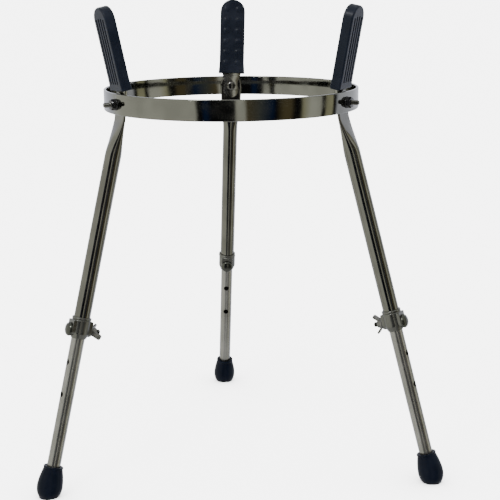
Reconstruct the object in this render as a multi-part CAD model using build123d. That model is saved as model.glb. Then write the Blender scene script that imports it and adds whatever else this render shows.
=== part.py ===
from build123d import *
import os
from math import cos, pi, radians, sin, sqrt

# Basket stand for a conga drum: a steel ring on three telescopic tube legs, with
# three rubber-sleeved arms standing up from the ring to hold the drum's shell.
# Millimetres, +Z up. The origin is on the floor, under the middle of the ring.
# Each leg is drawn at azimuth 0, with +X pointing out from the ring, and then turned
# to its own azimuth. One arm, one ring bolt and one leg share each azimuth.

LEG_AZIMUTH = {"left": 210.0, "right": 330.0, "back": 90.0}
# +1 puts the clamp bolt's head on the outside of the leg, -1 on the inside.
HEAD_SIDE = {"left": 1, "right": 1, "back": -1}
# How far each wing nut is turned at rest, about its bolt.
WING_TURN = {"left": 30.0, "right": 82.0, "back": 12.0}

# Ring
RING_DIAMETER = 305.0
RING_HEIGHT = 24.0
RING_WALL = 3.0
RING_EDGE = 0.8

# Legs. Arm and leg share one bolt at the ring, and have settled a little round it.
LEG_LEAN = 14.9
LEG_SWING = 2.0
UPPER_TUBE = 19.05
UPPER_WALL = 1.5
UPPER_LENGTH = 256.0
TUBE_GAP = 0.075
LOWER_WALL = 1.2
FLATTEN_LENGTH = 46.0
TONGUE_WIDTH = 28.0
TONGUE_NECK = 26.0
TONGUE_BELOW_RING = 3.0
LEG_SETTING = 199.5

# Height setting: holes through the lower tube
HOLE_PITCH = 38.5
HOLES_ABOVE = 3
HOLES_BELOW = 2
HOLE_SLACK = 1.0
TUBE_END_MARGIN = 8.0

# Clamp sleeve on the end of the upper tube
CLAMP_WALL = 1.775
CLAMP_LENGTH = 25.0
CLAMP_LIP = 3.0
CLAMP_TAPER = 6.0
CLAMP_TAPER_IN = 2.4
CLAMP_BEAD = 2.6
CLAMP_GROOVE = 0.9
CLAMP_GROOVE_DEPTH = 0.6
CLAMP_BOLT_UP = 9.5
BOSS_WIDTH = 15.0
BOSS_STAND = 1.1
SLEEVE_GAP = 0.3

# Bolts, washers and nuts
BOLT_DIAMETER = 6.0
BOLT_HOLE_GAP = 0.25
THREAD_GAP = 0.05
NUT_SEAT_GAP = 0.02
WASHER_THICKNESS = 1.2
CLAMP_HEAD_FLANGE = 5.0
CLAMP_HEAD_HEIGHT = 5.0
CLAMP_WASHER_FLANGE = 4.0
WING_HUB_WALL = 2.5
WING_HUB_TOP_WALL = 1.3
WING_HUB_HEIGHT = 7.0
WING_SPAN = 24.0
WING_HEIGHT = 11.5
WING_WIDTH = 7.0
WING_THICKNESS = 2.4
CLAMP_BOLT_TIP = 4.5
RING_HEAD_FLANGE = 2.7
RING_HEAD_HEIGHT = 3.4
RING_WASHER_FLANGE = 3.8
HEX_WALL = 2.5
HEX_HEIGHT = 5.2
RING_BOLT_TIP = 8.6

# Arms and their rubber sleeves
STRAP_WAIST = 16.5
STRAP_WAIST_UP = 4.0
STRAP_END_WIDTH = 20.0
STRAP_END_DROP = 5.5
STRAP_THICKNESS = 3.0
STRAP_LENGTH = 88.0
STRAP_ABOVE_TONGUE = 0.5
GRIP_LEAN = 11.5
GRIP_LENGTH = 96.0
GRIP_WIDTH = 32.0
GRIP_FOOT_FLARE = 1.0
GRIP_SIDE_WALL = 4.0
GRIP_FLARE = 14.0
GRIP_THICKNESS = 13.0
GRIP_EDGE = 3.4
GRIP_ABOVE_BEND = 1.5
DOME_DIAMETER = 7.3
DOME_HEIGHT = 1.5
DOME_ROWS = 6
DOME_PITCH = 14.0
DOME_SPREAD = 7.7
DOME_FROM_TIP = 13.0
GROOVE_COUNT = 4
GROOVE_PITCH = 5.8
GROOVE_WIDTH = 2.6
GROOVE_DEPTH = 1.1
GROOVE_FROM_FOOT = 8.0
GROOVE_FROM_TIP = 13.0

# Rubber feet
FOOT_HEIGHT = 37.0
FOOT_SOLE = 9.0
FOOT_WALL = 3.05
FOOT_LIP = 0.6
FOOT_LIP_HEIGHT = 2.4
FOOT_SWELL = 3.8
FOOT_TAPER_IN = 2.0

# Sizes that follow from the ones above
RING_INSIDE = RING_DIAMETER / 2 - RING_WALL
TONGUE_THICKNESS = 2 * UPPER_WALL
TONGUE_OUTER = sqrt(RING_INSIDE**2 - (TONGUE_WIDTH / 2) ** 2)
TONGUE_MIDDLE = TONGUE_OUTER - TONGUE_THICKNESS / 2
STRAP_OUTER = TONGUE_OUTER - TONGUE_THICKNESS
STRAP_MIDDLE = STRAP_OUTER - STRAP_THICKNESS / 2
STRAP_INNER = STRAP_OUTER - STRAP_THICKNESS
BEND_DROP = RING_HEIGHT / 2 + TONGUE_BELOW_RING
CLAMP_END = UPPER_LENGTH + CLAMP_LIP
CLAMP_BOLT_AT = CLAMP_END - CLAMP_BOLT_UP
SOLE_AT = CLAMP_BOLT_AT + LEG_SETTING
RING_Z = (BEND_DROP + SOLE_AT * cos(radians(LEG_LEAN))) * cos(radians(LEG_SWING))
BOLT_HOLE = BOLT_DIAMETER / 2 + BOLT_HOLE_GAP
HOLE_DIAMETER = BOLT_DIAMETER + HOLE_SLACK
UPPER_BORE = UPPER_TUBE - 2 * UPPER_WALL
LOWER_TUBE = UPPER_BORE - 2 * TUBE_GAP
CLAMP_DIAMETER = UPPER_TUBE + 2 * CLAMP_WALL
BOSS_REACH = CLAMP_DIAMETER / 2 + BOSS_STAND
CLAMP_HEAD_DIAMETER = BOLT_DIAMETER + 2 * CLAMP_HEAD_FLANGE
CLAMP_WASHER_DIAMETER = BOLT_DIAMETER + 2 * CLAMP_WASHER_FLANGE
WING_HUB_DIAMETER = BOLT_DIAMETER + 2 * WING_HUB_WALL
WING_HUB_TOP = BOLT_DIAMETER + 2 * WING_HUB_TOP_WALL
RING_HEAD_DIAMETER = BOLT_DIAMETER + 2 * RING_HEAD_FLANGE
RING_WASHER_DIAMETER = BOLT_DIAMETER + 2 * RING_WASHER_FLANGE
HEX_ACROSS_FLATS = BOLT_DIAMETER + 2 * HEX_WALL
STRAP_WIDTH = GRIP_WIDTH - 2 * GRIP_SIDE_WALL
GRIP_FOOT_WIDTH = GRIP_WIDTH + 2 * GRIP_FOOT_FLARE
FOOT_COLLAR = LOWER_TUBE + 2 * FOOT_WALL
FOOT_BULGE = FOOT_COLLAR + 2 * FOOT_SWELL
FOOT_BASE = FOOT_COLLAR - 2 * FOOT_TAPER_IN

# Leg frame: +X square to the leg and away from the ring, +Z down the leg's axis
LEG_OUT = (cos(radians(LEG_LEAN)), 0, sin(radians(LEG_LEAN)))
LEG_DOWN = (sin(radians(LEG_LEAN)), 0, -cos(radians(LEG_LEAN)))
BEND_POINT = Vector(TONGUE_MIDDLE, 0, RING_Z - BEND_DROP)

# Grip frame: +X across the arm, +Y up the arm, +Z out of its back
STRAP_BEND = TONGUE_WIDTH / 2 + STRAP_ABOVE_TONGUE
GRIP_OUT = (cos(radians(GRIP_LEAN)), 0, -sin(radians(GRIP_LEAN)))
GRIP_PLANE = Plane((STRAP_MIDDLE, 0, RING_Z + STRAP_BEND), (0, 1, 0), GRIP_OUT)


def leg_plane(distance):
    """A plane square to the leg's axis, this far down it from the bend."""
    return Plane(BEND_POINT + Vector(LEG_DOWN) * distance, LEG_OUT, LEG_DOWN)


def bolt_plane(name):
    """The clamp bolt's frame: on the leg's axis, +Z towards the bolt's head."""
    head = Vector(LEG_OUT) * HEAD_SIDE[name]
    return Plane(leg_plane(CLAMP_BOLT_AT).origin, (0, 1, 0), head)


def rod(radius, low, high):
    """A round bar along Z from one height to another."""
    return Pos(0, 0, low) * extrude(Circle(radius), high - low)


def tube(outer, inner, low, high):
    """A round tube along Z, given its two radii."""
    return rod(outer, low, high) - rod(inner, low, high)


def cross_bore(radius, distance, reach):
    """A round cut straight through the leg, square to it, at this distance down it."""
    through = Plane(leg_plane(distance).origin, (0, 1, 0), LEG_OUT)
    return through * rod(radius, -reach, reach)


def ring_bore():
    """The hole for a ring bolt, right through ring, tongue and strap."""
    across = Plane((0, 0, RING_Z), (0, 1, 0), (1, 0, 0))
    return across * rod(BOLT_HOLE, STRAP_INNER - 1, RING_DIAMETER / 2 + 1)


def basket_ring():
    """Flat steel bar rolled and welded into a hoop, with a bolt hole at each leg."""
    band = tube(RING_DIAMETER / 2, RING_INSIDE, -RING_HEIGHT / 2, RING_HEIGHT / 2)
    band = Pos(0, 0, RING_Z) * fillet(band.edges().filter_by(GeomType.CIRCLE), RING_EDGE)
    for azimuth in LEG_AZIMUTH.values():
        band -= Rot(0, 0, azimuth) * ring_bore()
    return band


def upright_face(bottom_width, top_width, low, high):
    """A flat outline that is symmetric about Y and tapers from one width to another."""
    foot = bottom_width / 2
    head = top_width / 2
    return make_face(Polyline((-foot, low), (foot, low), (head, high), (-head, high), close=True))


def flat_plate(outline, outer, thickness):
    """A vertical plate with this outline, its outer face at this distance from the axis."""
    face = Plane((outer, 0, RING_Z), (0, 1, 0), (1, 0, 0)) * outline
    return extrude(face, -thickness)


def tube_section(width, thickness, blend):
    """A tube's outline where it is partly flattened: blend 0 is flat, 1 is round."""
    corner_x = thickness / 2 * (1 - blend + blend * cos(pi / 4))
    flat_y = (width - thickness) / 2
    corner_y = flat_y * (1 - blend) + width / 2 * sin(pi / 4) * blend
    lines = []
    for side in (1, -1):
        low = (side * corner_x, -side * corner_y)
        high = (side * corner_x, side * corner_y)
        far = (-side * corner_x, side * corner_y)
        if blend:
            lines.append(ThreePointArc(low, (side * thickness / 2, 0), high))
        else:
            lines.append(Line(low, high))
        lines.append(ThreePointArc(high, (0, side * width / 2), far))
    return make_face(lines)


def flattened_stretch(flat_width, flat_thickness, diameter, start):
    """The stretch where a tube opens out from its flattened tongue to fully round."""
    steps = 3
    sections = []
    for step in range(steps + 1):
        share = step / steps
        blend = share * share * (3 - 2 * share)
        width = flat_width + (diameter - flat_width) * blend
        thickness = flat_thickness + (diameter - flat_thickness) * blend
        place = leg_plane(start + (FLATTEN_LENGTH - start) * share)
        if step == 0:
            place = Plane(place.origin, (1, 0, 0), (0, 0, -1))
        sections.append(place * tube_section(width, thickness, blend))
    return loft(sections)


def upper_leg():
    """Steel tube, its top pressed flat into a tongue and bent outwards below the ring."""
    taper = upright_face(TONGUE_NECK, TONGUE_WIDTH, -BEND_DROP, 0)
    leg = flat_plate(taper + Circle(TONGUE_WIDTH / 2), TONGUE_OUTER, TONGUE_THICKNESS)
    leg += flattened_stretch(TONGUE_NECK, TONGUE_THICKNESS, UPPER_TUBE, 0)
    leg += leg_plane(0) * rod(UPPER_TUBE / 2, FLATTEN_LENGTH, UPPER_LENGTH)
    pinch = FLATTEN_LENGTH / 4
    leg -= flattened_stretch(TONGUE_NECK - 4 * UPPER_WALL, UPPER_WALL, UPPER_BORE, pinch)
    leg -= leg_plane(0) * rod(UPPER_BORE / 2, FLATTEN_LENGTH, UPPER_LENGTH)
    leg -= cross_bore(BOLT_HOLE, CLAMP_BOLT_AT, UPPER_TUBE)
    return leg - ring_bore()


def lower_leg():
    """Thinner steel tube that slides in the upper one, drilled across for its settings."""
    top = CLAMP_BOLT_AT - HOLES_ABOVE * HOLE_PITCH - TUBE_END_MARGIN
    bottom = SOLE_AT - FOOT_SOLE
    leg = leg_plane(0) * tube(LOWER_TUBE / 2, LOWER_TUBE / 2 - LOWER_WALL, top, bottom)
    for step in range(-HOLES_ABOVE, HOLES_BELOW + 1):
        leg -= cross_bore(HOLE_DIAMETER / 2, CLAMP_BOLT_AT + step * HOLE_PITCH, LOWER_TUBE)
    return leg


def clamp_boss():
    """The flat-faced pad through which the bolt passes: square above it, round below."""
    rise = CLAMP_LENGTH - CLAMP_BOLT_UP - CLAMP_BEAD - CLAMP_GROOVE
    outline = upright_face(BOSS_WIDTH, BOSS_WIDTH, 0, rise) + Circle(BOSS_WIDTH / 2)
    across = Plane(leg_plane(CLAMP_BOLT_AT).origin, (0, 1, 0), LEG_OUT)
    return extrude(across * outline, BOSS_REACH, both=True)


def leg_clamp():
    """Cast sleeve over the end of the upper tube: beaded rim, two bolt pads, tapered end."""
    top = CLAMP_END - CLAMP_LENGTH
    radius = CLAMP_DIAMETER / 2
    groove = top + CLAMP_BEAD
    body = rod(radius, top, CLAMP_END)
    body = chamfer(body.edges().sort_by(Axis.Z)[-1], CLAMP_TAPER, CLAMP_TAPER_IN)
    body -= tube(radius + 1, radius - CLAMP_GROOVE_DEPTH, groove, groove + CLAMP_GROOVE)
    sleeve = leg_plane(0) * body + clamp_boss()
    sleeve -= leg_plane(0) * rod(UPPER_TUBE / 2, top, UPPER_LENGTH)
    sleeve -= leg_plane(0) * rod(LOWER_TUBE / 2 + SLEEVE_GAP, UPPER_LENGTH, CLAMP_END)
    return sleeve - cross_bore(BOLT_HOLE, CLAMP_BOLT_AT, 2 * BOSS_REACH)


def domed_bolt(head_diameter, head_height, seat, tip):
    """A bolt along Z: domed head above the seat, shank down to the tip."""
    head = rod(head_diameter / 2, seat, seat + head_height)
    head = fillet(head.edges().sort_by(Axis.Z)[-1], head_height * 0.75)
    shank = rod(BOLT_DIAMETER / 2, tip, seat)
    shank = chamfer(shank.edges().sort_by(Axis.Z)[0], BOLT_DIAMETER / 8)
    return head + shank


def washer(diameter, low):
    """A plain washer lying on the plane at this height."""
    return tube(diameter / 2, BOLT_HOLE, low, low + WASHER_THICKNESS)


def clamp_bolt(name):
    """The bolt that pins the lower tube in the clamp at one of its holes."""
    tip = -(BOSS_REACH + WASHER_THICKNESS + WING_HUB_HEIGHT + CLAMP_BOLT_TIP)
    return bolt_plane(name) * domed_bolt(CLAMP_HEAD_DIAMETER, CLAMP_HEAD_HEIGHT, BOSS_REACH, tip)


def clamp_washer(name):
    """The washer between the clamp's boss and the wing nut."""
    return bolt_plane(name) * washer(CLAMP_WASHER_DIAMETER, -BOSS_REACH - WASHER_THICKNESS)


def wing():
    """One wing: a flat strip sloping up and out from the foot of the hub, rounded at its tip."""
    root = BOLT_DIAMETER / 2 + 2 * THREAD_GAP
    along = Vector(WING_SPAN / 2 - root, 0, WING_HEIGHT - WING_THICKNESS)
    strip = Pos(along.length / 2, 0) * Rectangle(along.length, WING_WIDTH)
    strip = fillet(strip.vertices().sort_by(Axis.X)[-2:], WING_WIDTH * 0.3)
    slope = Plane((root, 0, 0), along, Vector(-along.Z, 0, along.X))
    return extrude(slope * strip, WING_THICKNESS)


def wing_nut(name):
    """Cast wing nut: a tapered hub with two blades, turned by hand."""
    nut = Solid.make_cone(WING_HUB_DIAMETER / 2, WING_HUB_TOP / 2, WING_HUB_HEIGHT)
    nut += wing() + Rot(0, 0, 180) * wing()
    nut -= rod(BOLT_DIAMETER / 2 + THREAD_GAP, -1, WING_HEIGHT)
    level = -BOSS_REACH - WASHER_THICKNESS - NUT_SEAT_GAP
    seat = Pos(0, 0, level) * Rot(180, 0, WING_TURN[name])
    return bolt_plane(name) * seat * nut


def ring_plane():
    """A ring bolt's frame: on the ring's axis at its mid height, +Z towards the centre."""
    return Plane((0, 0, RING_Z), (0, 1, 0), (-1, 0, 0))


def ring_bolt():
    """Bolt through strap, tongue and ring, with its domed head inside the ring."""
    tip = -(RING_DIAMETER / 2 + WASHER_THICKNESS + HEX_HEIGHT + RING_BOLT_TIP)
    return ring_plane() * domed_bolt(RING_HEAD_DIAMETER, RING_HEAD_HEIGHT, -STRAP_INNER, tip)


def ring_washer():
    """Washer under the ring bolt's nut, on the outside of the ring."""
    return ring_plane() * washer(RING_WASHER_DIAMETER, -RING_DIAMETER / 2 - WASHER_THICKNESS)


def ring_nut():
    """Hexagon nut on the outside of the ring, its corners chamfered by a cone."""
    seat = RING_DIAMETER / 2 + WASHER_THICKNESS
    corner = HEX_ACROSS_FLATS / sqrt(3)
    nut = extrude(RegularPolygon(corner, 6), HEX_HEIGHT)
    nut &= Solid.make_cone(corner + HEX_HEIGHT, corner * 0.93, HEX_HEIGHT)
    nut -= rod(BOLT_DIAMETER / 2, 0, HEX_HEIGHT)
    outward = Plane((seat, 0, RING_Z), (0, 1, 0), (1, 0, 0))
    return outward * nut


def grip_strap():
    """Flat steel arm: waisted round end bolted inside the ring, bent outwards above it."""
    half = STRAP_WIDTH / 2
    lower = upright_face(STRAP_END_WIDTH, STRAP_WAIST, -STRAP_END_DROP, STRAP_WAIST_UP)
    lower += upright_face(STRAP_WAIST, STRAP_WIDTH, STRAP_WAIST_UP, STRAP_BEND)
    lower += Pos(0, -STRAP_END_DROP) * Circle(STRAP_END_WIDTH / 2)
    strap = flat_plate(lower, STRAP_OUTER, STRAP_THICKNESS)
    tail = upright_face(STRAP_WIDTH, STRAP_WIDTH, 0, STRAP_LENGTH)
    tail = fillet(tail.vertices().sort_by(Axis.Y)[-2:], half * 0.8)
    strap += extrude(GRIP_PLANE * tail, STRAP_THICKNESS / 2, both=True)
    knuckle = Plane(GRIP_PLANE.origin, (1, 0, 0), (0, 1, 0)) * rod(STRAP_THICKNESS / 2, -half, half)
    return strap + knuckle - ring_bore()


def grip_outline():
    """The sleeve's outline: flared at its foot, fully rounded at its top."""
    base = GRIP_ABOVE_BEND
    flare = base + GRIP_FLARE
    shoulder = base + GRIP_LENGTH - GRIP_WIDTH / 2
    outline = upright_face(GRIP_FOOT_WIDTH, GRIP_WIDTH, base, flare)
    outline += upright_face(GRIP_WIDTH, GRIP_WIDTH, flare, shoulder)
    return outline + Pos(0, shoulder) * Circle(GRIP_WIDTH / 2)


def grip_domes():
    """Two columns of raised domes on the inner face, against the drum's shell."""
    rise = DOME_HEIGHT
    radius = ((DOME_DIAMETER / 2) ** 2 + rise**2) / (2 * rise)
    top = GRIP_ABOVE_BEND + GRIP_LENGTH - DOME_FROM_TIP
    depth = radius - rise - GRIP_THICKNESS / 2
    domes = []
    for row in range(DOME_ROWS):
        for side in (-DOME_SPREAD, DOME_SPREAD):
            domes.append(Pos(side, top - row * DOME_PITCH, depth) * Sphere(radius))
    return domes


def grip_grooves():
    """Upright grooves moulded into the sleeve's outer face."""
    low = GRIP_ABOVE_BEND + GROOVE_FROM_FOOT
    high = GRIP_ABOVE_BEND + GRIP_LENGTH - GROOVE_FROM_TIP
    grooves = []
    for number in range(GROOVE_COUNT):
        across = (number - (GROOVE_COUNT - 1) / 2) * GROOVE_PITCH
        slot = Pos(across, (low + high) / 2) * SlotOverall(high - low, GROOVE_WIDTH, 90)
        grooves.append(Pos(0, 0, GRIP_THICKNESS / 2 - GROOVE_DEPTH) * extrude(slot, 2 * GROOVE_DEPTH))
    return grooves


def grip_pad():
    """Rubber sleeve moulded over the strap."""
    pad = extrude(grip_outline(), GRIP_THICKNESS / 2, both=True)
    rims = pad.faces().sort_by(Axis.Z)
    pad = fillet(rims[0].edges() + rims[-1].edges(), GRIP_EDGE)
    pad += grip_domes()
    pad -= grip_grooves()
    return GRIP_PLANE * pad - grip_strap()


def settled(shape):
    """Swings a piece of the arm or leg round the ring bolt, by as much as they have settled."""
    swing = Pos(0, 0, RING_Z) * Rot(LEG_SWING, 0, 0) * Pos(0, 0, -RING_Z)
    return swing * shape


def rubber_foot():
    """Rubber tip pushed onto the lower tube, its sole worn flat to the floor."""
    collar = FOOT_COLLAR / 2
    base = FOOT_BASE / 2
    below = base / 2
    start = (collar, FOOT_LIP_HEIGHT)
    bulge = (FOOT_BULGE / 2, FOOT_HEIGHT * 0.64)
    sole = (base, FOOT_HEIGHT)
    side = Spline(start, bulge, sole, tangents=[(0.15, 1), (0, 1), (-0.55, 1)])
    lines = [
        Polyline((0, 0), (collar + FOOT_LIP, 0), (collar + FOOT_LIP, FOOT_LIP_HEIGHT), start),
        side,
        Polyline(sole, (base - 0.55 * below, FOOT_HEIGHT + below), (0, FOOT_HEIGHT + below), (0, 0)),
    ]
    profile = Plane.XZ * make_face(lines)
    tip = revolve(profile, Axis.Z)
    tip -= rod(LOWER_TUBE / 2, 0, FOOT_HEIGHT - FOOT_SOLE)
    tip = settled(leg_plane(SOLE_AT - FOOT_HEIGHT) * tip)
    under = tip.bounding_box()
    floor_cut = Box(under.size.X, under.size.Y, FOOT_HEIGHT, align=(Align.CENTER, Align.CENTER, Align.MAX))
    return tip - Pos(under.center().X, under.center().Y, 0) * floor_cut


def write(shape, node, azimuth):
    """Turns a piece to its leg's azimuth and writes it as its own STEP file."""
    placed = Rot(0, 0, azimuth) * shape
    solids = placed.solids()
    piece = solids[0] if len(solids) == 1 else Compound(solids)
    piece.label = node
    export_step(piece, f"parts/{node}.step")


def main():
    os.makedirs("parts", exist_ok=True)
    write(basket_ring(), "basket_ring", 0)
    shared = {
        "ring_bolt": ring_bolt(),
        "ring_washer": ring_washer(),
        "ring_nut": ring_nut(),
        "grip_strap": settled(grip_strap()),
        "grip_pad": settled(grip_pad()),
        "upper_leg": settled(upper_leg()),
        "leg_clamp": settled(leg_clamp()),
        "lower_leg": settled(lower_leg()),
        "rubber_foot": rubber_foot(),
    }
    for name, azimuth in LEG_AZIMUTH.items():
        for piece, shape in shared.items():
            write(shape, f"{piece}_{name}", azimuth)
        write(settled(clamp_bolt(name)), f"clamp_bolt_{name}", azimuth)
        write(settled(clamp_washer(name)), f"clamp_washer_{name}", azimuth)
        write(settled(wing_nut(name)), f"wing_nut_{name}", azimuth)


main()
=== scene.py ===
import math

import bmesh
import bpy
from mathutils import Matrix, Vector


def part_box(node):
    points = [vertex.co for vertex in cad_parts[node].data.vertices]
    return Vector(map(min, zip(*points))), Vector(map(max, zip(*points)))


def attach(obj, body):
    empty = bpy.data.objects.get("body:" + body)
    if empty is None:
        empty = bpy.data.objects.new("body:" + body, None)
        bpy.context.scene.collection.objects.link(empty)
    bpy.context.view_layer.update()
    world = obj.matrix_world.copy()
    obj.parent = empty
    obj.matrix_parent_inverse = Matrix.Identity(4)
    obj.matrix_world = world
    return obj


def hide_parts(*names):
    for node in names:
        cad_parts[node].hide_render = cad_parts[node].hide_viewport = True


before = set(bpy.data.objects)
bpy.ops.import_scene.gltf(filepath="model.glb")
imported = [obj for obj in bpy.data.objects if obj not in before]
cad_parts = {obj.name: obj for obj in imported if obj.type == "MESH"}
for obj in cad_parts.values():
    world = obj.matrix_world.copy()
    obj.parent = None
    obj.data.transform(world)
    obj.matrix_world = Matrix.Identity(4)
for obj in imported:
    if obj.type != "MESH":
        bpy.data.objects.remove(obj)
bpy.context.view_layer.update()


# Camera. It stands in front of the stand, a little above the basket ring, looks down
# at it slightly, and leans a touch to one side.
camera = bpy.data.objects.new("camera", bpy.data.cameras.new("camera"))
camera.data.lens = 87.33
camera.data.sensor_width = 36.0
CAMERA_PLACE = (0.0, -1.4635, 0.5969)
CAMERA_PITCH, CAMERA_YAW, CAMERA_ROLL = 0.2269, 0.01425, 0.0087
forward = Vector((
    math.sin(CAMERA_YAW) * math.cos(CAMERA_PITCH),
    math.cos(CAMERA_YAW) * math.cos(CAMERA_PITCH),
    -math.sin(CAMERA_PITCH),
))
level_right = Vector((math.cos(CAMERA_YAW), -math.sin(CAMERA_YAW), 0.0))
right = Matrix.Rotation(CAMERA_ROLL, 3, forward) @ level_right
turned = Matrix((right, right.cross(forward), -forward)).transposed()
camera.matrix_world = Matrix.Translation(CAMERA_PLACE) @ turned.to_4x4()
bpy.context.scene.collection.objects.link(camera)
bpy.context.scene.camera = camera


# Basket ring: flat steel bar, 24 x 3 mm, rolled and welded into a hoop 305 mm across,
# its edges eased and polished before plating, with a hole for each ring bolt. Each piece
# that it carries is drawn in millimetres at azimuth 0, with +X out, and then placed.
MM = 0.001
SIDES = {"left": 210.0, "right": 330.0, "back": 90.0}
SETTLED = math.radians(2.0)
RING_MIDDLE = (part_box("basket_ring")[0].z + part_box("basket_ring")[1].z) / 2
RING_OUTSIDE = 152.5
RING_INSIDE = 149.5
RING_HALF_HEIGHT = 12.0
RING_EDGE = 0.9
BOLT_HOLE = 3.25
ACROSS = Matrix.Rotation(math.radians(90), 4, "Y")


def at_ring(side, swing=SETTLED):
    """From millimetres about the ring's middle to the shared frame, at one leg's azimuth."""
    turn = Matrix.Rotation(math.radians(SIDES[side]), 4, "Z")
    lift = Matrix.Translation((0, 0, RING_MIDDLE))
    return turn @ lift @ Matrix.Rotation(swing, 4, "X") @ Matrix.Scale(MM, 4)


def rounded(corners, steps=4):
    """Points round a closed outline of (x, y, radius) corners, each turned as an arc."""
    points = []
    for number, (x, y, radius) in enumerate(corners):
        corner = Vector((x, y))
        if not radius:
            points.append(corner)
            continue
        before = (Vector(corners[number - 1][:2]) - corner).normalized()
        after = (Vector(corners[(number + 1) % len(corners)][:2]) - corner).normalized()
        half = before.angle(after) / 2
        centre = corner + (before + after).normalized() * radius / math.sin(half)
        first = corner + before * radius / math.tan(half) - centre
        last = corner + after * radius / math.tan(half) - centre
        for step in range(steps + 1):
            spoke = first.slerp(last, step / steps).normalized() * radius
            points.append(centre + spoke)
    return points


def lathed(profile, steps, closed=True):
    """A turned piece: an outline of (radius, height) points spun once round Z."""
    mesh = bmesh.new()
    points = [mesh.verts.new((radius, 0, height)) for radius, height in profile]
    ends = points[1:] + points[:1] if closed else points[1:]
    edges = [mesh.edges.new(pair) for pair in zip(points, ends)]
    bmesh.ops.spin(
        mesh, geom=points + edges, cent=(0, 0, 0), axis=(0, 0, 1),
        angle=2 * math.pi, steps=steps, use_merge=True,
    )
    bmesh.ops.remove_doubles(mesh, verts=mesh.verts, dist=1e-4)
    bmesh.ops.recalc_face_normals(mesh, faces=mesh.faces)
    return mesh


def drum(radius, low, high, steps=48):
    """A plain round bar along Z, for cutting bores."""
    return lathed([(0, low), (radius, low), (radius, high), (0, high)], steps, closed=False)


def moved(mesh, matrix):
    """The same mesh, moved."""
    bmesh.ops.transform(mesh, matrix=matrix, verts=mesh.verts)
    return mesh


def bolt_drill(azimuth=0.0):
    """The drill for one ring bolt's hole, through the ring, the tongue and the arm."""
    turn = Matrix.Rotation(math.radians(azimuth), 4, "Z")
    return moved(drum(BOLT_HOLE, RING_INSIDE - 11.5, RING_OUTSIDE + 7.5), turn @ ACROSS)


def combined(base, tools, operation, voxel=0.0, smoothing=0):
    """Cuts tools out of a mesh or joins them on; a voxel size then softens it like a casting."""
    made = []
    for mesh in [base, *tools]:
        bmesh.ops.recalc_face_normals(mesh, faces=mesh.faces)
        data = bpy.data.meshes.new("working")
        mesh.to_mesh(data)
        mesh.free()
        made.append(bpy.data.objects.new("working", data))
        bpy.context.scene.collection.objects.link(made[-1])
    for tool in made[1:]:
        step = made[0].modifiers.new("combine", "BOOLEAN")
        step.operation = operation
        step.solver = "EXACT"
        step.object = tool
    if voxel:
        cast = made[0].modifiers.new("cast", "REMESH")
        cast.mode = "VOXEL"
        cast.voxel_size = voxel
        soften = made[0].modifiers.new("soften", "SMOOTH")
        soften.iterations = smoothing
    graph = bpy.context.evaluated_depsgraph_get()
    graph.update()
    result = bmesh.new()
    result.from_mesh(made[0].evaluated_get(graph).to_mesh())
    made[0].evaluated_get(graph).to_mesh_clear()
    for item in made:
        bpy.data.meshes.remove(item.data)
    return result


def piece(name, mesh, place, material, crease=35.0):
    """Turns a drawn mesh into a finished object in the shared frame, normals outward."""
    bmesh.ops.transform(mesh, matrix=place, verts=mesh.verts)
    bmesh.ops.recalc_face_normals(mesh, faces=mesh.faces)
    data = bpy.data.meshes.new(name)
    mesh.to_mesh(data)
    mesh.free()
    data.shade_smooth()
    data.set_sharp_from_angle(angle=math.radians(crease))
    data.materials.append(material)
    made = bpy.data.objects.new(name, data)
    bpy.context.scene.collection.objects.link(made)
    return made


class Value:
    """A shader value. Arithmetic on it adds Math nodes, and node() adds any other node."""

    def __init__(self, tree, socket=None):
        self.tree = tree
        self.socket = socket

    def node(self, kind, settings=(), inputs=(), output=0):
        """Adds a node, sets its settings, fills its inputs, and returns one output."""
        made = self.tree.nodes.new("ShaderNode" + kind)
        for name, value in dict(settings).items():
            setattr(made, name, value)
        for name, value in dict(inputs).items():
            if isinstance(value, Value):
                self.tree.links.new(value.socket, made.inputs[name])
            else:
                made.inputs[name].default_value = value
        return Value(self.tree, made.outputs[output])

    def maths(self, operation, *values):
        """Adds a Math node over these values."""
        return self.node("Math", {"operation": operation}, enumerate(values))

    def __add__(self, other):
        return self.maths("ADD", self, other)

    def __radd__(self, other):
        return self.maths("ADD", other, self)

    def __sub__(self, other):
        return self.maths("SUBTRACT", self, other)

    def __rsub__(self, other):
        return self.maths("SUBTRACT", other, self)

    def __mul__(self, other):
        return self.maths("MULTIPLY", self, other)

    def __rmul__(self, other):
        return self.maths("MULTIPLY", other, self)

    def between(self, low, high):
        """0 below low, 1 above high, and a smooth step from one to the other."""
        settings = {"interpolation_type": "SMOOTHSTEP"}
        inputs = {"Value": self, "From Min": low, "From Max": high}
        return self.node("MapRange", settings, inputs)


def mixed(share, first, second):
    """A colour between two colours, which are the Mix node's sockets 6 and 7."""
    inputs = {"Factor": share, 6: first, 7: second}
    return share.node("Mix", {"data_type": "RGBA"}, inputs, output=2)


def grain(position, scale, detail=2.0, stretch=(1, 1, 1)):
    """Noise at this many cells a metre, drawn out by dividing the scale along each axis."""
    if tuple(stretch) != (1, 1, 1):
        shares = {0: position, 1: tuple(1 / part for part in stretch)}
        position = position.node("VectorMath", {"operation": "MULTIPLY"}, shares)
    inputs = {"Vector": position, "Scale": scale, "Detail": detail}
    return position.node("TexNoise", (), inputs)


def new_material(name, surface):
    """A Principled material. surface(position) gives its colour, roughness and so on."""
    material = bpy.data.materials.new(name)
    material.use_nodes = True
    tree = material.node_tree
    shader = tree.nodes["Principled BSDF"]
    position = Value(tree).node("TexCoord", output="Object")
    for key, value in surface(position).items():
        if isinstance(value, Value):
            tree.links.new(value.socket, shader.inputs[key])
        else:
            shader.inputs[key].default_value = value
    return material


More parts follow.
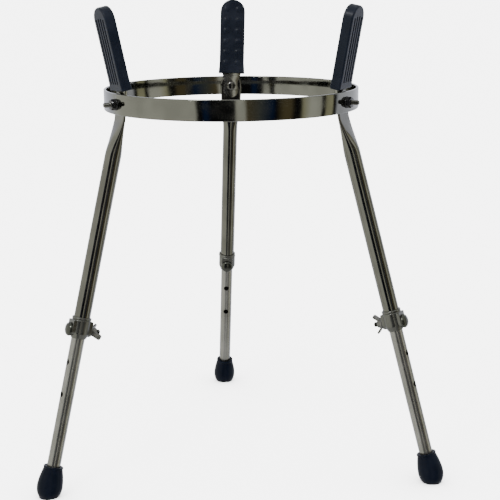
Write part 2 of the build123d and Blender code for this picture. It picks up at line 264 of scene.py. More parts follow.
def bumped(height, depth, strength=1.0):
    """A normal from a height of 0 to 1, this many metres deep."""
    inputs = {"Height": height, "Distance": depth, "Strength": strength}
    return height.node("Bump", (), inputs)


def dark_plating(base, smudged, dullness=0.07):
    """Black nickel over polished steel: a grey mirror, faintly wavy, with smudges."""
    def surface(position):
        waves = grain(position, 38.0, 1.0)
        smudges = grain(position, 55.0, 4.0).between(0.42, 0.7)
        specks = grain(position, 900.0, 2.0).between(0.6, 0.75)
        low = (*base, 1)
        high = (*(part * 1.22 for part in base), 1)
        return {
            "Base Color": mixed(waves.between(0.3, 0.7), low, high),
            "Metallic": 1.0,
            "Roughness": smudges * smudged + specks * 0.05 + dullness,
            "Normal": bumped(waves + specks * 0.02, 0.0006, 0.35),
        }
    return surface


ring_plating = new_material("ring plating", dark_plating((0.135, 0.136, 0.122), 0.07))
ring_section = rounded([
    (RING_INSIDE, -RING_HALF_HEIGHT, RING_EDGE),
    (RING_OUTSIDE, -RING_HALF_HEIGHT, RING_EDGE),
    (RING_OUTSIDE, RING_HALF_HEIGHT, RING_EDGE),
    (RING_INSIDE, RING_HALF_HEIGHT, RING_EDGE),
])
drills = [bolt_drill(azimuth) for azimuth in SIDES.values()]
hoop = combined(lathed(ring_section, 288), drills, "DIFFERENCE")
ring = piece("ring", hoop, Matrix.Translation((0, 0, RING_MIDDLE)) @ Matrix.Scale(MM, 4),
             ring_plating)
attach(ring, "basket")
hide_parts("basket_ring")


# Upper legs: steel tube, 19.05 mm outside with a 1.5 mm wall. The top 46 mm is pressed
# flat into a round-ended tongue 28 mm wide, drilled for the ring bolt and bent 14.9
# degrees outwards just below the ring. It is plated in the same black nickel.
LEG_LEAN = math.radians(14.9)
BEND = Vector((147.34, 0.0, -15.0))
BEND_REACH = 4.0
TUBE_OUTSIDE = 19.05
TUBE_INSIDE = 16.05
TUBE_END = 256.0
CLAMP_BOLT_AT = 249.5
FLATTENED = 46.0
TONGUE_RISE = 15.0
TONGUE_WIDTH = 28.0
TONGUE_NECK = 26.0
TONGUE_THICK = 3.0


def at_leg(side, distance):
    """The leg's own frame, this far down it from its bend: +X outwards, +Z up the leg."""
    lean = Matrix.Rotation(-LEG_LEAN, 4, "Y")
    down = Matrix.Translation((0, 0, -distance))
    return at_ring(side) @ Matrix.Translation(BEND) @ lean @ down


def bent(mesh, foot, lean, reach):
    """Bends an upright mesh at a point: what is past it leans over, in a short arc."""
    for vert in mesh.verts:
        along = vert.co.z - foot.z
        share = min(max((along + reach) / (2 * reach), 0.0), 1.0)
        angle = lean * share
        radius = 2 * reach / lean
        past = max(along - reach, 0.0)
        start = min(along, -reach)
        centre_x = radius * (1 - math.cos(angle)) + past * math.sin(lean)
        centre_z = start + radius * math.sin(angle) + past * math.cos(lean)
        out = vert.co.x - foot.x
        vert.co.x = foot.x + centre_x + out * math.cos(angle)
        vert.co.z = foot.z + centre_z - out * math.sin(angle)
    return mesh


def skinned(loops):
    """A closed skin over a row of loops of points, with a face across each end."""
    mesh = bmesh.new()
    rows = [[mesh.verts.new(point) for point in loop] for loop in loops]
    for upper, lower in zip(rows, rows[1:]):
        for one in range(len(upper)):
            two = (one + 1) % len(upper)
            mesh.faces.new((upper[one], upper[two], lower[two], lower[one]))
    mesh.faces.new(rows[0])
    mesh.faces.new(rows[-1][::-1])
    bmesh.ops.recalc_face_normals(mesh, faces=mesh.faces)
    return mesh


def pressed_section(width, thick, diameter, share, count=64):
    """A tube's section part way from flat (share 0) to round (share 1)."""
    points = []
    for step in range(count):
        angle = 2 * math.pi * step / count
        quarter = (step + count // 8) % count // (count // 4)
        turn = (angle + math.pi / 4) % (math.pi / 2)
        side = 1 if quarter in (0, 1) else -1
        if quarter % 2 == 0:
            flat_x = thick / 2
            flat_y = (width - thick) / 2 * (turn / (math.pi / 4) - 1)
        else:
            flat_x = thick / 2 * math.cos(2 * turn)
            flat_y = (width - thick) / 2 + thick / 2 * math.sin(2 * turn)
        round_x = diameter / 2 * math.cos(angle)
        round_y = diameter / 2 * math.sin(angle)
        points.append((
            side * flat_x * (1 - share) + round_x * share,
            side * flat_y * (1 - share) + round_y * share,
        ))
    return points


def upper_tube():
    """Outer skin from the tongue's tip to the tube's end, then the bore back up inside."""
    stations = []
    for step in range(12):
        angle = math.radians(88 * (1 - step / 12))
        height = TONGUE_RISE + TONGUE_WIDTH / 2 * math.sin(angle)
        width = max(TONGUE_WIDTH * math.cos(angle), TONGUE_THICK + 0.2)
        stations.append((height, width, TONGUE_THICK, TUBE_OUTSIDE, 0.0))
    for step in range(12):
        share = step / 12
        width = TONGUE_WIDTH + (TONGUE_NECK - TONGUE_WIDTH) * share
        stations.append((TONGUE_RISE * (1 - share), width, TONGUE_THICK, TUBE_OUTSIDE, 0.0))
    for step in range(33):
        share = step / 32
        blend = share * share * (3 - 2 * share)
        stations.append((-FLATTENED * share, TONGUE_NECK, TONGUE_THICK, TUBE_OUTSIDE, blend))
    sawn_end = [(0.5, TUBE_OUTSIDE), (0.1, TUBE_OUTSIDE - 0.1), (0.0, TUBE_OUTSIDE - 0.45),
                (0.0, TUBE_INSIDE + 0.25), (0.2, TUBE_INSIDE)]
    for up, diameter in sawn_end:
        stations.append((up - TUBE_END, TONGUE_NECK, TONGUE_THICK, diameter, 1.0))
    slit_top, slit_width, slit_gap = FLATTENED / 4, 20.0, 1.0
    for step in range(17):
        share = 1 - step / 16
        blend = share * share * (3 - 2 * share)
        height = -slit_top - (FLATTENED - slit_top) * share
        stations.append((height, slit_width, slit_gap, TUBE_INSIDE, blend))
    loops = []
    for height, width, thick, diameter, blend in stations:
        section = pressed_section(width, thick, diameter, blend)
        loops.append([(x, y, -height) for x, y in section])
    tube = bent(skinned(loops), Vector((0, 0, 0)), LEG_LEAN, BEND_REACH)
    return moved(tube, Matrix.Translation(BEND) @ Matrix.Rotation(math.pi, 4, "X"))


upper_plating = new_material("upper tube plating",
                             dark_plating((0.118, 0.118, 0.106), 0.06, 0.1))
for side in SIDES:
    down = Matrix.Translation(BEND) @ Matrix.Rotation(-LEG_LEAN, 4, "Y")
    down = down @ Matrix.Translation((0, 0, -CLAMP_BOLT_AT))
    clamp_drill = moved(drum(BOLT_HOLE, -20, 20), down @ ACROSS)
    drilled = combined(upper_tube(), [bolt_drill(), clamp_drill], "DIFFERENCE")
    upper_leg = piece(f"{side}_upper_leg", drilled, at_ring(side), upper_plating)
    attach(upper_leg, "basket")
    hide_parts(f"upper_leg_{side}")


# Arms: flat steel bar, 24 x 3 mm, plated like the ring. Each has a round foot with a
# waist above its bolt, lies against the tongue inside the ring, and is bent 11.5 degrees
# outwards just above the tongue. The rubber sleeve hides all but its foot.
ARM_LEAN = math.radians(11.5)
ARM_MIDDLE = 144.34
ARM_HALF_THICK = 1.5
ARM_HALF_WIDTH = 12.0
ARM_FOOT = 9.99
ARM_WAIST = 8.25
ARM_BEND = 14.5
ARM_TOP = ARM_BEND + 88.0


def arm_outline(inset):
    """The arm's outline, inset from its edge, with heights from the ring bolt."""
    side = [
        (ARM_FOOT, -15.5, ARM_FOOT - 0.01), (ARM_FOOT, -5.5, 6.0), (ARM_WAIST, 4.0, 8.0),
        (ARM_HALF_WIDTH, ARM_BEND, 8.0), (ARM_HALF_WIDTH, ARM_TOP, 9.6),
    ]
    corners = [(x - inset, y, radius - inset) for x, y, radius in side]
    corners[0] = (corners[0][0], side[0][1] + inset, corners[0][2])
    corners[-1] = (corners[-1][0], side[-1][1] - inset, corners[-1][2])
    return rounded(corners + [(-x, y, radius) for x, y, radius in corners[::-1]], 8)


arm_plating = new_material("arm plating", dark_plating((0.19, 0.19, 0.17), 0.1, 0.15))
eased = ((ARM_HALF_THICK, 0.4), (ARM_HALF_THICK - 0.1, 0.1), (ARM_HALF_THICK - 0.4, 0.0))
for side in SIDES:
    loops = []
    for out, inset in [(-out, inset) for out, inset in eased] + [*eased[::-1]]:
        loops.append([(ARM_MIDDLE + out, x, y) for x, y in arm_outline(inset)])
    bar = skinned(loops)
    for step in range(7):
        cut = (0, 0, ARM_BEND - ARM_HALF_THICK + step * ARM_HALF_THICK / 3)
        geometry = [*bar.verts, *bar.edges, *bar.faces]
        bmesh.ops.bisect_plane(bar, geom=geometry, plane_co=cut, plane_no=(0, 0, 1))
    bent(bar, Vector((ARM_MIDDLE, 0, ARM_BEND)), ARM_LEAN, ARM_HALF_THICK)
    drilled = combined(bar, [bolt_drill()], "DIFFERENCE")
    arm = piece(f"{side}_arm", drilled, at_ring(side), arm_plating)
    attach(arm, "basket")
    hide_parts(f"grip_strap_{side}")


# Sleeves: black rubber moulded over the arms, 96 mm tall, 32 wide and 13 thick, rounded
# over at the top and flared at the foot. Twelve studs and a border line face the drum,
# and four upright grooves run down the back. The mould leaves every edge soft.
SLEEVE_HALF = 16.0
SLEEVE_FOOT = 1.5
SLEEVE_TOP = SLEEVE_FOOT + 96.0
SLEEVE_FACE = 6.5
SLEEVE_EDGE = 1.9
STUD_ROWS = {"from_top": 13.0, "pitch": 14.0, "aside": 7.7}
GROOVE_PITCH = 5.8
GROOVE_HALF = 1.3
GROOVE_DEPTH = 1.5
BORDER = {"outer": 2.6, "inner": 3.5, "deep": 6.1}


def sleeve_outline(inset):
    """The sleeve's outline, inset from its edge."""
    foot = SLEEVE_HALF + 1.0 - inset
    half = SLEEVE_HALF - inset
    low = SLEEVE_FOOT + inset
    top = SLEEVE_TOP - inset
    side = [(foot, low, 0.6), (half, SLEEVE_FOOT + 14, 8.0), (half, top, half - 0.01)]
    return rounded(side + [(-x, y, radius) for x, y, radius in side[::-1]], 12)


def slab(outlines):
    """A solid through (height, outline) pairs."""
    return skinned([[(x, y, height) for x, y in outline] for height, outline in outlines])


def sleeve():
    """Drawn flat: +Y up the arm, +Z out of its back, 0 at the arm's middle and bend."""
    levels = []
    for step in range(7):
        angle = math.radians(90 * step / 6)
        inset = SLEEVE_EDGE * (1 - math.sin(angle))
        levels.append((SLEEVE_FACE - SLEEVE_EDGE * (1 - math.cos(angle)), inset))
    levels = [(-height, inset) for height, inset in levels] + levels[::-1]
    body = slab([(height, sleeve_outline(inset)) for height, inset in levels])
    studs = []
    stud = [(0, -7.9), (1.8, -7.85), (3.0, -7.5), (3.6, -6.9), (3.95, -6.2), (3.95, -5.5),
            (0, -5.5)]
    for number in range(12):
        aside = STUD_ROWS["aside"] * (1 - number % 2 * 2)
        up = SLEEVE_TOP - STUD_ROWS["from_top"] - number // 2 * STUD_ROWS["pitch"]
        centre = Matrix.Translation((aside, up, 0))
        studs.append(moved(lathed(stud, 32, closed=False), centre))
    body = combined(body, studs, "UNION")
    cuts = []
    for number in range(4):
        middle = (number - 1.5) * GROOVE_PITCH
        low = SLEEVE_FOOT + 8.0
        high = SLEEVE_TOP - 13.0 + (0.6 if number in (1, 2) else -0.6)
        near, far = middle - GROOVE_HALF, middle + GROOVE_HALF
        outline = rounded([
            (far, low, 1.25), (far, high, 1.25), (near, high, 1.25), (near, low, 1.25),
        ])
        cuts.append(slab([(SLEEVE_FACE - GROOVE_DEPTH, outline), (SLEEVE_FACE + 1, outline)]))
    outer, inner = sleeve_outline(BORDER["outer"]), sleeve_outline(BORDER["inner"])
    border = combined(slab([(-7.5, outer), (-BORDER["deep"], outer)]),
                      [slab([(-8, inner), (-5, inner)])], "DIFFERENCE")
    half, top = ARM_HALF_WIDTH + 0.05, ARM_TOP - ARM_BEND
    arm_shape = [(half, -2), (half, top - 2), (8, top + 0.1), (-8, top + 0.1), (-half, top - 2),
                 (-half, -2)]
    pocket = slab([(height, arm_shape) for height in (-1.55, 1.55)])
    return combined(body, [*cuts, border, pocket], "DIFFERENCE", voxel=0.36, smoothing=3)


def moulded_rubber(tone, dusty, shine, roughness):
    """Near-black moulded rubber with a fine grain, a soft sheen and a little dust."""
    def surface(position):
        fine = grain(position, 1500.0, 2.0)
        handled = grain(position, 45.0, 3.0).between(0.4, 0.68)
        dust = grain(position, 260.0, 4.0).between(0.56, 0.8)
        shade = mixed(handled, (*tone, 1), (*(part * 1.5 for part in tone), 1))
        return {
            "Base Color": mixed(dust * dusty, shade, (0.006, 0.006, 0.008, 1)),
            "Roughness": roughness + handled * 0.1 + dust * 0.12,
            "Normal": bumped(fine + handled * 0.4, 0.00012, 0.35),
            "Specular IOR Level": shine,
        }
    return surface


sleeve_rubber = new_material("sleeve rubber",
                             moulded_rubber((0.0008, 0.0015, 0.0034), 0.1, 0.12, 0.27))
for side in SIDES:
    lean = Matrix.Translation((ARM_MIDDLE, 0, ARM_BEND)) @ Matrix.Rotation(ARM_LEAN, 4, "Y")
    upright = Matrix(((0, 0, 1, 0), (1, 0, 0, 0), (0, 1, 0, 0), (0, 0, 0, 1)))
    grip = piece(f"{side}_sleeve", sleeve(), at_ring(side) @ lean @ upright, sleeve_rubber, 80.0)
    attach(grip, "basket")
    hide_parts(f"grip_pad_{side}")


# Ring bolts: M6 with a small domed head inside the ring, through arm, tongue and ring.
# Their threads end 8.6 mm beyond the nuts. They are steel, plated a dark, bright nickel.
ARM_FACE = ARM_MIDDLE - ARM_HALF_THICK
BOLT_RADIUS = 3.0
THREAD_PITCH = 1.0
THREAD_DEPTH = 0.55
TIP_BEVEL = 0.9
RING_BOLT_TIP = RING_OUTSIDE + 15.0
RING_THREAD_FROM = RING_OUTSIDE + 0.7


def threaded_bolt(head, seat, tip, thread_from):
    """A bolt along Z: a domed head above its seat, a shank, and a rolled M6 thread."""
    count, slice_height = 48, 0.125
    rows = [[(radius, height)] * count for radius, height in head]
    for step in range(int((seat - tip) / slice_height) + 1):
        height = seat - slice_height * step
        row = []
        for part in range(count):
            phase = (height / THREAD_PITCH + part / count) % 1.0
            depth = THREAD_DEPTH * abs(2 * phase - 1) if height < thread_from else 0.0
            bevel = TIP_BEVEL * (tip + TIP_BEVEL - height)
            row.append((BOLT_RADIUS - max(depth, bevel, 0.0), height))
        rows.append(row)
    turns = [(math.cos(math.tau * part / count), math.sin(math.tau * part / count))
             for part in range(count)]
    return skinned([
        [(radius * x, radius * y, height) for (x, y), (radius, height) in zip(turns, row)]
        for row in rows
    ])


def domed_head(radius, height, seat):
    """(radius, height) points from near the middle of a dome down to its seat."""
    points = []
    for step in range(10):
        angle = math.radians(3 + 80 * step / 9)
        rise = 1.0 + (height - 1.0) * math.cos(angle)
        points.append((radius * math.sin(angle) ** 0.9, seat + rise))
    return points + [(radius, seat + 0.7), (radius, seat + 0.2), (radius - 0.2, seat)]


ring_bolt_plating = new_material("ring bolt plating",
                                 dark_plating((0.1, 0.1, 0.093), 0.05, 0.1))
for side in SIDES:
    inwards = Matrix.Rotation(math.radians(-90), 4, "Y")
    head = domed_head(5.7, 3.4, -ARM_FACE)
    bolt = threaded_bolt(head, -ARM_FACE, -RING_BOLT_TIP, -RING_THREAD_FROM)
    ring_bolt = piece(f"{side}_ring_bolt", bolt, at_ring(side, 0) @ inwards,
                      ring_bolt_plating, 50.0)
    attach(ring_bolt, "basket")
    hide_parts(f"ring_bolt_{side}")


# Ring washers: plain M6 washers, 13.6 mm across, stamped from 1.2 mm strip, lying on
# the outside of the ring under the nuts. Washers and nuts are black passivated zinc.
WASHER_THICK = 1.2


def flat_washer(radius):
    """A washer lying on the plane at height 0, its edges rounded by tumbling."""
    return lathed(rounded([
        (BOLT_HOLE, 0, 0.2), (radius, 0, 0.25),
        (radius, WASHER_THICK, 0.35), (BOLT_HOLE, WASHER_THICK, 0.2),
    ], 3), 64)


def black_zinc(position):
    """Black passivated zinc: dark, semi-gloss, rubbed a little brighter in patches."""
    rubbed = grain(position, 420.0, 3.0).between(0.55, 0.75)
    return {
        "Base Color": mixed(rubbed, (0.0012, 0.0012, 0.0014, 1), (0.004, 0.004, 0.0042, 1)),
        "Metallic": 0.0,
        "Roughness": 0.2 + rubbed * 0.15,
        "Normal": bumped(grain(position, 1200.0), 0.00005, 0.3),
    }


hardware = new_material("black hardware", black_zinc)
for side in SIDES:
    seat = at_ring(side, 0) @ ACROSS @ Matrix.Translation((0, 0, RING_OUTSIDE))
    ring_washer = piece(f"{side}_ring_washer", flat_washer(6.8), seat, hardware)
    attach(ring_washer, "basket")
    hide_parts(f"ring_washer_{side}")


# Ring nuts: M6 hexagon nuts, 11 mm across the flats and 5.2 mm thick, with their
# corners turned down by a chamfer at the outer face.
def hexagon_nut(flats, thick):
    """A hexagon cut round by a cone, with a bore through it."""
    corner = flats / math.sqrt(3)
    hexagon = lathed([(0, 0), (corner, 0), (corner, thick), (0, thick)], 6, closed=False)
    cone = lathed([(0, -0.1), (corner * 1.02, -0.1), (corner * 1.02, thick - 1.4),
                   (corner * 0.86, thick + 0.01), (0, thick + 0.01)], 96, closed=False)
    blank = combined(hexagon, [cone], "INTERSECT")
    return combined(blank, [drum(BOLT_RADIUS, -1, thick + 1)], "DIFFERENCE")


for side in SIDES:
    on_washer = Matrix.Translation((0, 0, RING_OUTSIDE + WASHER_THICK))
    seat = at_ring(side, 0) @ ACROSS @ on_washer
    ring_nut = piece(f"{side}_ring_nut", hexagon_nut(11.0, 5.2), seat, hardware)
    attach(ring_nut, "basket")
    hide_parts(f"ring_nut_{side}")


# Clamps: cast sleeves on the ends of the upper tubes, 22.6 mm across and 25 mm long,
# with a bead and a groove at the top, a flat pad either side for the bolt, and a
# tapered lower end whose lip closes round the lower tube. Plated black nickel.
CLAMP_LOW = -9.5
CLAMP_HIGH = CLAMP_LOW + 25.0
CLAMP_RADIUS = 11.3
CLAMP_LIP = 8.9
CLAMP_GROOVE = 10.7
CLAMP_FACE = 12.4
LOWER_BORE = 8.25


def clamp():
    """Drawn about the bolt: +Z up the leg, +X through the bolt, away from the ring."""
    shell = lathed([
        (0, CLAMP_LOW), (CLAMP_LIP, CLAMP_LOW), (CLAMP_RADIUS, CLAMP_LOW + 6.0),
        (CLAMP_RADIUS, CLAMP_HIGH - 3.5), (CLAMP_GROOVE, CLAMP_HIGH - 3.3),
        (CLAMP_GROOVE, CLAMP_HIGH - 2.7), (CLAMP_RADIUS - 0.1, CLAMP_HIGH - 2.5),
        (CLAMP_RADIUS, CLAMP_HIGH - 2.2), (CLAMP_RADIUS, CLAMP_HIGH - 0.6),
        (CLAMP_RADIUS - 0.5, CLAMP_HIGH), (0, CLAMP_HIGH),
    ], 96, closed=False)
    pad = rounded([(-7.5, -7.5, 7.45), (7.5, -7.5, 7.45), (7.5, 11.5, 0.8), (-7.5, 11.5, 0.8)], 10)
    small = [(x * 0.965, 2 + (y - 2) * 0.965) for x, y in pad]
    levels = [(-CLAMP_FACE, small), (0.35 - CLAMP_FACE, pad), (CLAMP_FACE - 0.35, pad),
              (CLAMP_FACE, small)]
    boss = skinned([[(out, x, y) for x, y in outline] for out, outline in levels])
    solid = combined(shell, [boss], "UNION")
    upper_bore = drum(TUBE_OUTSIDE / 2, CLAMP_BOLT_AT - TUBE_END, 30, 96)
    lower_bore = drum(LOWER_BORE, -20, 0, 96)
    through = moved(drum(BOLT_HOLE, -20, 20), ACROSS)
    bores = [upper_bore, lower_bore, through]
    return combined(solid, bores, "DIFFERENCE", voxel=0.26, smoothing=2)


clamp_plating = new_material("clamp plating", dark_plating((0.1, 0.101, 0.093), 0.08, 0.27))
for side in SIDES:
    sleeve_clamp = piece(f"{side}_clamp", clamp(), at_leg(side, CLAMP_BOLT_AT), clamp_plating, 80.0)
    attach(sleeve_clamp, "basket")
    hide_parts(f"leg_clamp_{side}")


# Lower legs: steel tube, 15.9 mm outside with a 1.2 mm wall, that slides in the upper
# leg. Six 7 mm holes go across it, 38.5 mm apart, for its settings. It is plated in
# satin nickel, drawn with fine lines along it, and scuffed where it runs in the clamp.
LOWER_RADIUS = 7.95
LOWER_WALL = 1.2
HOLE_RADIUS = 3.5
HOLE_PITCH = 38.5
LEG_SETTING = 199.5
FOOT_SOLE = 9.0
LOWER_TOP = 3 * HOLE_PITCH + 8.0
LOWER_END = FOOT_SOLE - LEG_SETTING


def satin_plating(place):
    """Satin nickel over drawn tube. place carries the leg's own frame to the shared one."""
    rows = place.inverted()

    def surface(position):
        parts = []
        for row in rows[:3]:
            shares = {0: position, 1: tuple(part * MM for part in row[:3])}
            along = position.node("VectorMath", {"operation": "DOT_PRODUCT"}, shares, output=1)
            parts.append(along + row[3] * MM)
        local = position.node("CombineXYZ", (), enumerate(parts))
        lines = grain(local, 900.0, 3.0, (1, 1, 60))
        scuffs = grain(local, 260.0, 3.0, (1, 1, 22)).between(0.58, 0.72)
        patches = grain(local, 30.0, 2.0)
        shade = mixed(patches.between(0.3, 0.7), (0.2, 0.198, 0.186, 1), (0.25, 0.248, 0.235, 1))
        return {
            "Base Color": mixed(scuffs * 0.35, shade, (0.36, 0.36, 0.35, 1)),
            "Metallic": 1.0,
            "Roughness": lines * 0.16 + patches * 0.08 + scuffs * 0.06 + 0.15,
            "Normal": bumped(lines, 0.00004, 0.5),
        }
    return surface


for side in SIDES:
    bore = LOWER_RADIUS - LOWER_WALL
    tube = lathed(rounded([
        (bore, LOWER_END, 0.25), (LOWER_RADIUS, LOWER_END, 0.4),
        (LOWER_RADIUS, LOWER_TOP, 0.4), (bore, LOWER_TOP, 0.25),
    ], 3), 96)
    drills = []
    for number in range(-2, 4):
        along = Matrix.Translation((0, 0, number * HOLE_PITCH))
        drills.append(moved(drum(HOLE_RADIUS, -20, 20, 40), along @ ACROSS))
    drilled = combined(tube, drills, "DIFFERENCE")
    place = at_leg(side, CLAMP_BOLT_AT)
    lower_plating = new_material(f"{side} lower tube plating", satin_plating(place))
    lower_leg = piece(f"{side}_lower_leg", drilled, place, lower_plating)
    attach(lower_leg, f"lower_leg_{side}")
    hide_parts(f"lower_leg_{side}")


# Feet: black rubber tips pushed onto the lower tubes, 37 mm long: a 22 mm collar that
# swells to 30.2 mm and curves in to the sole. The sole is worn flat and level, and its
# rim is rounded.
SOLE_AT = CLAMP_BOLT_AT + LEG_SETTING
FOOT_TALL = 37.0
COLLAR_RADIUS = 11.1
COLLAR_FOOT = 34.6
BULGE_RADIUS = 15.1
BULGE_AT = 13.3
SOLE_RADIUS = 10.9
SOLE_TURN = math.radians(68)


def foot_profile():
    """(radius, height above the sole) round the foot's outline and its socket."""
    outside = [(10.3, 36.9), (11.25, 36.8), (11.55, 36.5), (11.6, 36.0), (11.55, 35.0),
               (11.35, 34.75), (COLLAR_RADIUS, COLLAR_FOOT)]
    for step in range(1, 17):
        share = step / 16
        swell = (BULGE_RADIUS - COLLAR_RADIUS) * (1 - (1 - share) ** 1.6)
        height = COLLAR_FOOT - (COLLAR_FOOT - BULGE_AT) * share
        outside.append((COLLAR_RADIUS + swell, height))
    for step in range(1, 15):
        angle = SOLE_TURN * step / 14
        share = (math.cos(angle) - math.cos(SOLE_TURN)) / (1 - math.cos(SOLE_TURN))
        radius = SOLE_RADIUS + (BULGE_RADIUS - SOLE_RADIUS) * share
        outside.append((radius, BULGE_AT * (1 - math.sin(angle) / math.sin(SOLE_TURN))))
    socket = [(0, FOOT_SOLE), (7.5, FOOT_SOLE), (LOWER_RADIUS, FOOT_SOLE + 0.4),
              (LOWER_RADIUS, 36.3), (8.3, 36.8), (9.0, FOOT_TALL)]
    return [*socket, *outside, (8.8, -5.0), (0, -5.0)]


foot_rubber = new_material("foot rubber",
                           moulded_rubber((0.0003, 0.0008, 0.0024), 0.06, 0.07, 0.3))
for side in SIDES:
    tip = lathed(foot_profile(), 96, closed=False)
    moved(tip, at_leg(side, SOLE_AT))
    geometry = [*tip.verts, *tip.edges, *tip.faces]
    cut = bmesh.ops.bisect_plane(tip, geom=geometry, plane_co=(0, 0, 0), plane_no=(0, 0, -1),
                                 clear_outer=True, dist=1e-6)
    rim = [edge for edge in cut["geom_cut"] if isinstance(edge, bmesh.types.BMEdge)]
    bmesh.ops.edgeloop_fill(tip, edges=rim)
    bmesh.ops.bevel(tip, geom=rim, offset=0.0005, segments=3, profile=0.5, affect="EDGES",
                    material=-1)
    foot = piece(f"{side}_foot", tip, Matrix.Identity(4), foot_rubber, 50.0)
    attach(foot, f"lower_leg_{side}")
    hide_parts(f"rubber_foot_{side}")


# Clamp bolts: M6, with a large domed head, through the clamp and both tubes. Heads are
# on the outside of the front legs and the inside of the back one. Plated and polished.
WING_HUB = 7.0
BOLT_PROUD = 4.5
CLAMP_BOLT_TIP = CLAMP_FACE + WASHER_THICK + WING_HUB + BOLT_PROUD


def at_bolt(side):
    """The clamp bolt's frame: on the leg's axis, +X across it, +Z towards the bolt's head."""
    head = 1 if side != "back" else -1
    axes = Matrix(((0, 1, 0), (0, 0, head), (head, 0, 0))).transposed().to_4x4()
    return at_leg(side, CLAMP_BOLT_AT) @ axes


bolt_plating = new_material("clamp bolt plating",
                            dark_plating((0.055, 0.057, 0.05), 0.08, 0.17))
for side in SIDES:
    head = domed_head(8.0, 5.0, CLAMP_FACE)
    bolt = threaded_bolt(head, CLAMP_FACE, -CLAMP_BOLT_TIP, -CLAMP_FACE)
    clamp_bolt = piece(f"{side}_clamp_bolt", bolt, at_bolt(side), bolt_plating, 50.0)
    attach(clamp_bolt, f"clamp_bolt_{side}")
    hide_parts(f"clamp_bolt_{side}")


# Clamp washers: plain M6 washers, 14 mm across, stamped and blackened like the ring's.
# One lies between the clamp's flat pad and the wing nut, loose on the bolt.
for side in SIDES:
    under = Matrix.Translation((0, 0, -CLAMP_FACE)) @ Matrix.Rotation(math.pi, 4, "X")
    clamp_washer = piece(f"{side}_clamp_washer", flat_washer(7.0), at_bolt(side) @ under,
                         hardware)
    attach(clamp_washer, f"clamp_washer_{side}")
    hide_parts(f"clamp_washer_{side}")


# Wing nuts: M6, cast in one with two sloping strip wings, 24 mm across the tips. They
# are nickel plated, greyer and rougher than the tubes, and each stands as it was left.
WING_TURN = {"left": 30.0, "right": 82.0, "back": 12.0}
WING_ROOT = 3.1
WING_TIP = 12.0
WING_TALL = 11.5
WING_THICK = 2.4
WING_HALF = 3.5
SEAT_GAP = 0.02


def wing_nut():
    """Drawn with its seat at height 0 and its wings rising along +Z."""
    hub = lathed(rounded([(0, 0, 0), (5.5, 0, 0.5), (4.3, WING_HUB, 0.6), (0, WING_HUB, 0)], 4),
                 64, closed=False)
    wings = []
    run, rise = WING_TIP - WING_ROOT, WING_TALL - WING_THICK
    length = math.hypot(run, rise)
    outline = rounded([
        (0, -WING_HALF, 0.1), (length, -WING_HALF, 2.2),
        (length, WING_HALF, 2.2), (0, WING_HALF, 0.1),
    ], 6)
    slope = Matrix.Rotation(-math.atan2(rise, run), 4, "Y")
    root = Matrix.Translation((WING_ROOT, 0, 0.05))
    for turn in (0, math.pi):
        strip = slab([(0, outline), (WING_THICK, outline)])
        wings.append(moved(strip, Matrix.Rotation(turn, 4, "Z") @ root @ slope))
    body = combined(hub, wings, "UNION")
    bore = drum(BOLT_RADIUS + 0.05, -1, 12)
    below = lathed([(0, -2), (15, -2), (15, 0), (0, 0)], 48, closed=False)
    return combined(body, [bore, below], "DIFFERENCE", voxel=0.17, smoothing=3)


def cast_nickel(position):
    """Nickel over a small casting: grey, slightly pitted, brighter and smoother in worn patches."""
    pits = grain(position, 900.0, 3.0)
    worn = grain(position, 160.0, 3.0).between(0.4, 0.65)
    return {
        "Base Color": mixed(worn, (0.075, 0.075, 0.07, 1), (0.14, 0.14, 0.135, 1)),
        "Metallic": 1.0,
        "Roughness": 0.34 - worn * 0.12 + pits * 0.08,
        "Normal": bumped(pits, 0.00012, 0.3),
    }


wing_metal = new_material("wing nut nickel", cast_nickel)
for side in SIDES:
    seat = Matrix.Translation((0, 0, -CLAMP_FACE - WASHER_THICK - SEAT_GAP))
    over = Matrix.Rotation(math.pi, 4, "X")
    turn = Matrix.Rotation(math.radians(WING_TURN[side]), 4, "Z")
    place = at_bolt(side) @ seat @ over @ turn
    nut = piece(f"{side}_wing_nut", wing_nut(), place, wing_metal, 80.0)
    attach(nut, f"wing_nut_{side}")
    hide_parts(f"wing_nut_{side}")


# Floor and light: a plain pale floor under an even white studio, with dark flags hung
# round it that only the plating mirrors, and one soft lamp above and in front.
bpy.ops.mesh.primitive_plane_add(size=60.0, location=(0, 0, 0))
floor = bpy.context.object
floor.name = "floor"
floor.visible_glossy = False
paper = bpy.data.materials.new("pale floor")
paper.use_nodes = True
paper_shader = paper.node_tree.nodes["Principled BSDF"]
paper_shader.inputs["Base Color"].default_value = (0.86, 0.86, 0.86, 1)
paper_shader.inputs["Roughness"].default_value = 0.9
paper_shader.inputs["Specular IOR Level"].default_value = 0.0
floor.data.materials.append(paper)

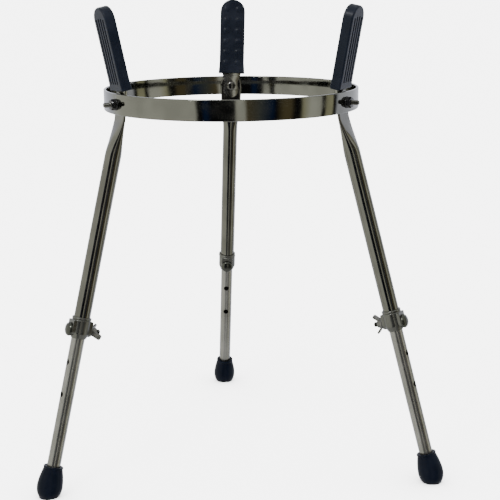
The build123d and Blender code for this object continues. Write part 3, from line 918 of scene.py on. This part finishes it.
ROOM_LIGHT = 7.0
MIRRORED_LIGHT = 1.35
studio = bpy.data.worlds.new("studio")
bpy.context.scene.world = studio
studio.use_nodes = True
sky = Value(studio.node_tree)
ray = sky.node("TexCoord", output="Generated")
east, north, up = (ray.node("SeparateXYZ", (), {0: ray}, output=axis) for axis in "XYZ")
bearing = sky.maths("ARCTAN2", east, north * -1.0) * (0.5 / math.pi) + 0.5
ramp = sky.node("ValToRGB", (), {0: bearing})
ROOM = {
    "wall": (1.0, 1.0, 0.9, 1),
    "cool": (0.93, 0.95, 1.05, 1),
    "drape": (0.012, 0.012, 0.014, 1),
    "navy": (0.012, 0.032, 0.10, 1),
    "shade": (0.13, 0.14, 0.13, 1),
    "board": (0.19, 0.155, 0.08, 1),
    "khaki": (0.72, 0.7, 0.46, 1),
}
bearings = [
    (-180, "cool"), (-134, "cool"), (-122, "wall"), (-32, "wall"), (-30, "drape"),
    (-26, "drape"), (-24, "navy"), (-21, "navy"), (-19, "drape"), (3, "drape"), (5, "wall"),
    (11, "wall"), (14, "board"), (24, "shade"), (36, "navy"), (40, "drape"), (46, "board"),
    (54, "board"), (58, "drape"), (63, "drape"), (66, "khaki"), (74, "wall"), (86, "wall"),
    (88, "drape"), (91, "drape"), (93, "khaki"), (101, "khaki"), (103, "drape"),
    (106, "drape"), (109, "cool"), (180, "cool"),
]
stops = ramp.socket.node.color_ramp.elements
while len(stops) < len(bearings):
    stops.new(0.5)
for stop, (degrees, _) in zip(stops, bearings):
    stop.position = degrees / 360 + 0.5
for stop, (_, part) in zip(stops, bearings):
    stop.color = ROOM[part]
overhead = sky.maths("ABSOLUTE", up + 0.1).between(0.5, 0.75)
mirrored = mixed(overhead, ramp, (0.8, 0.8, 0.78, 1))
path = sky.node("LightPath", output="Is Glossy Ray")
glow = mixed(path, (1.0, 1.0, 1.0, 1), mirrored)
background = studio.node_tree.nodes["Background"]
studio.node_tree.links.new(glow.socket, background.inputs["Color"])
strength = ROOM_LIGHT - path * (ROOM_LIGHT - MIRRORED_LIGHT)
studio.node_tree.links.new(strength.socket, background.inputs["Strength"])

lamp = bpy.data.lights.new("soft box", "AREA")
lamp.shape = "RECTANGLE"
lamp.size, lamp.size_y, lamp.energy = 0.5, 0.4, 24.0
soft_box = bpy.data.objects.new("soft box", lamp)
hung_at, aimed_at = Vector((-0.9, -1.3, 1.9)), Vector((0, 0, 0.3))
facing = (aimed_at - hung_at).to_track_quat("-Z", "Y").to_matrix().to_4x4()
soft_box.matrix_world = Matrix.Translation(hung_at) @ facing
bpy.context.scene.collection.objects.link(soft_box)
